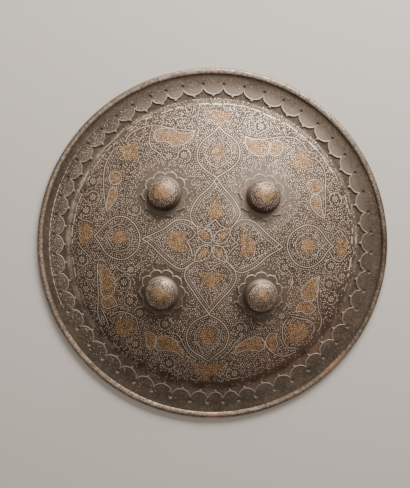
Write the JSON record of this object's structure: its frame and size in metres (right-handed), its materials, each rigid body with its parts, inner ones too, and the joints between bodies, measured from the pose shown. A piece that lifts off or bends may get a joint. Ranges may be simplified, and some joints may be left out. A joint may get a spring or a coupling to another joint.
{
  "type": "dhal shield",
  "caption": "Round domed steel dhal shield with a lappet border, a bound rim and hollow bosses on lobed rosettes, to hold before the body.",
  "frame": {"origin": "middle of the rim's underside, on the surface that the shield lies on", "axes": "+Z out through the dome's apex, +Y towards the top of the shield as it is shown, +X to its right seen from the front"},
  "size_m": [0.46, 0.46, 0.0699],
  "materials": {
    "dome_steel": "browned and worn, with silver and gold laid in",
    "border_steel": "browned and worn, bright at the bevelled edges",
    "binding_alloy": "worn and stained, coppery in places",
    "boss_steel": "smooth, with a silver and gold cap"
  },
  "bodies": {
    "root": {"dome_plate": "dome_steel", "lappet_border": "border_steel", "rim_binding": "binding_alloy", "rosette_upper_right": "border_steel", "rosette_upper_left": "border_steel", "rosette_lower_left": "border_steel", "rosette_lower_right": "border_steel", "boss_upper_right": "boss_steel", "boss_upper_left": "boss_steel", "boss_lower_left": "boss_steel", "boss_lower_right": "boss_steel"}
  },
  "joints": []
}
